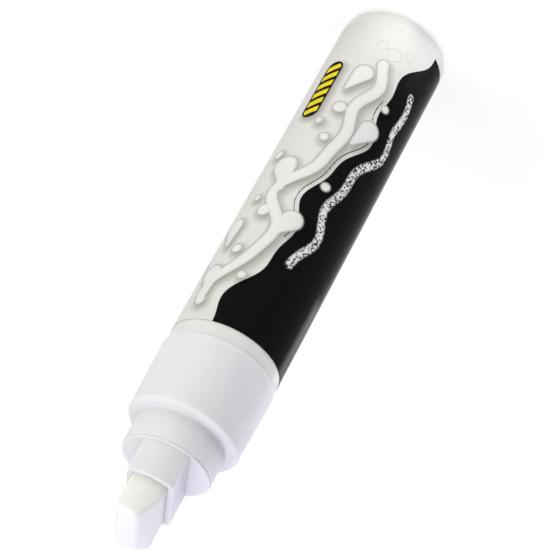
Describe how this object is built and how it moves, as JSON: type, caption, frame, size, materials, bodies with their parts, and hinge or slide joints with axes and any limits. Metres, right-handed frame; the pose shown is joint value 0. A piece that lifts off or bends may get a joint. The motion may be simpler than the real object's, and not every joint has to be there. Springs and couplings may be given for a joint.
{
  "type": "liquid chalk marker",
  "caption": "Thick round liquid chalk marker without its cap: printed white and black barrel, stepped white nose with a flat-sided mouth, and a wide chisel nib that presses a sprung ink valve.",
  "frame": {"origin": "centre of the flat base on which the marker stands, nib up", "axes": "+Z along the barrel to the nib; +X along the wide side of the nib, towards the heel of its chisel end; +Y across the nib's thickness"},
  "size_m": [0.0244, 0.0244, 0.1324],
  "materials": {
    "barrel_plastic": "smooth moulded white polypropylene",
    "printed_film": "satin printed film, white and black",
    "nose_plastic": "satin moulded white polypropylene",
    "nib_fibre": "pressed white polyester fibre",
    "valve_plastic": "natural moulded acetal",
    "gasket_rubber": "moulded black rubber",
    "spring_steel": "drawn stainless wire",
    "ball_steel": "polished stainless balls"
  },
  "bodies": {
    "marker_body": {"barrel": "barrel_plastic", "printed_sleeve": "printed_film", "nose_housing": "nose_plastic", "valve_body": "valve_plastic", "spring_retainer": "valve_plastic", "valve_spring": "spring_steel"},
    "nib_plunger": {"nib": "nib_fibre", "valve_stem": "valve_plastic", "valve_gasket": "gasket_rubber"},
    "first_ball": {"agitator_ball_1": "ball_steel"},
    "second_ball": {"agitator_ball_2": "ball_steel"}
  },
  "joints": [
    {"name": "nib_press", "type": "slide", "parent": "marker_body", "child": "nib_plunger", "axis": [0, 0, -1], "range_m": [0, 0.0015], "stiffness_N_per_m": 600, "springref_m": -0.002, "deforming": ["valve_spring"]},
    {"name": "first_ball_slide", "type": "slide", "parent": "marker_body", "child": "first_ball", "axis": [0, 0, 1], "range_m": [0, 0.078]},
    {"name": "second_ball_slide", "type": "slide", "parent": "marker_body", "child": "second_ball", "axis": [0, 0, 1], "range_m": [0, 0.078]}
  ]
}
